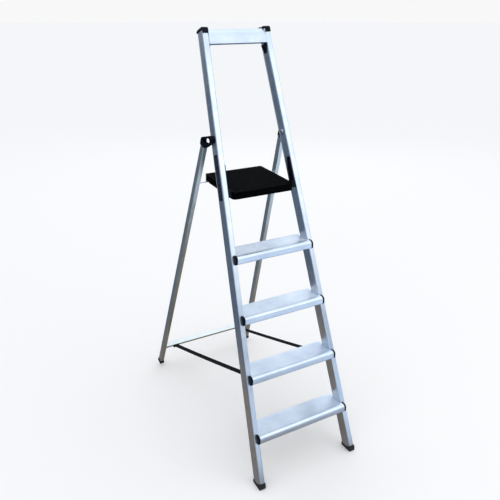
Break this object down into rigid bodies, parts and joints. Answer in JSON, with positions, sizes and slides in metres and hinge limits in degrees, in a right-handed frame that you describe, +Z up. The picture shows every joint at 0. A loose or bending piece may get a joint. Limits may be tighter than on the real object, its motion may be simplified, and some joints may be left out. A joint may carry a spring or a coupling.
{
  "type": "platform step ladder",
  "caption": "Free-standing aluminium step ladder with grooved treads, a folding black platform and a handrail hoop, its rear frame held open by straps.",
  "frame": {"origin": "on the floor, under the middle of the ladder's box", "axes": "+X across the ladder to the climber's right, +Y from the treads towards the rear legs, +Z up"},
  "size_m": [0.5788, 1.1112, 1.827],
  "materials": {
    "aluminium": "satin",
    "leg_aluminium": "satin",
    "steel": "bright zinc plated",
    "black_plastic": "semi gloss",
    "platform_black": "matt",
    "rubber": "matt",
    "webbing": "woven",
    "label": "satin film"
  },
  "bodies": {
    "front_frame": {"stile_left": "aluminium", "front_foot_left": "rubber", "top_cap_left": "black_plastic", "stile_right": "aluminium", "front_foot_right": "rubber", "top_cap_right": "black_plastic", "label": "label", "top_rail": "aluminium", "rail_pad_left": "black_plastic", "rail_pad_right": "black_plastic", "tread_1": "aluminium", "nosing_cap_1_left": "black_plastic", "nosing_cap_1_right": "black_plastic", "tread_2": "aluminium", "nosing_cap_2_left": "black_plastic", "nosing_cap_2_right": "black_plastic", "tread_3": "aluminium", "nosing_cap_3_left": "black_plastic", "nosing_cap_3_right": "black_plastic", "tread_4": "aluminium", "nosing_cap_4_left": "black_plastic", "nosing_cap_4_right": "black_plastic", "platform_bracket_left": "black_plastic", "platform_pin_left": "steel", "hinge_pin_left": "steel", "hinge_washer_left": "black_plastic", "strap_left": "webbing", "strap_plate_left": "steel", "platform_bracket_right": "black_plastic", "platform_pin_right": "steel", "hinge_pin_right": "steel", "hinge_washer_right": "black_plastic", "strap_right": "webbing", "strap_plate_right": "steel"},
    "rear_frame": {"hinge_arm_left": "black_plastic", "rear_leg_left": "leg_aluminium", "rear_foot_left": "rubber", "hinge_arm_right": "black_plastic", "rear_leg_right": "leg_aluminium", "rear_foot_right": "rubber", "rear_brace": "leg_aluminium", "platform_rod": "steel", "strap_clamp_left": "black_plastic", "strap_clamp_right": "black_plastic"},
    "platform": {"platform": "platform_black"}
  },
  "joints": [
    {"name": "fold", "type": "hinge", "parent": "front_frame", "child": "rear_frame", "pos_m": [0, -0.02644, 1.39542], "axis": [-1, 0, 0], "range_deg": [0, 40.3], "deforming": ["strap_left", "strap_right"]},
    {"name": "platform_tilt", "type": "hinge", "parent": "front_frame", "child": "platform", "pos_m": [0, -0.10469, 1.17808], "axis": [1, 0, 0], "range_deg": [0, 67.3]}
  ],
  "couplings": [
    {"joint": "platform_tilt", "follows": "fold", "ratio": 1.667}
  ]
}
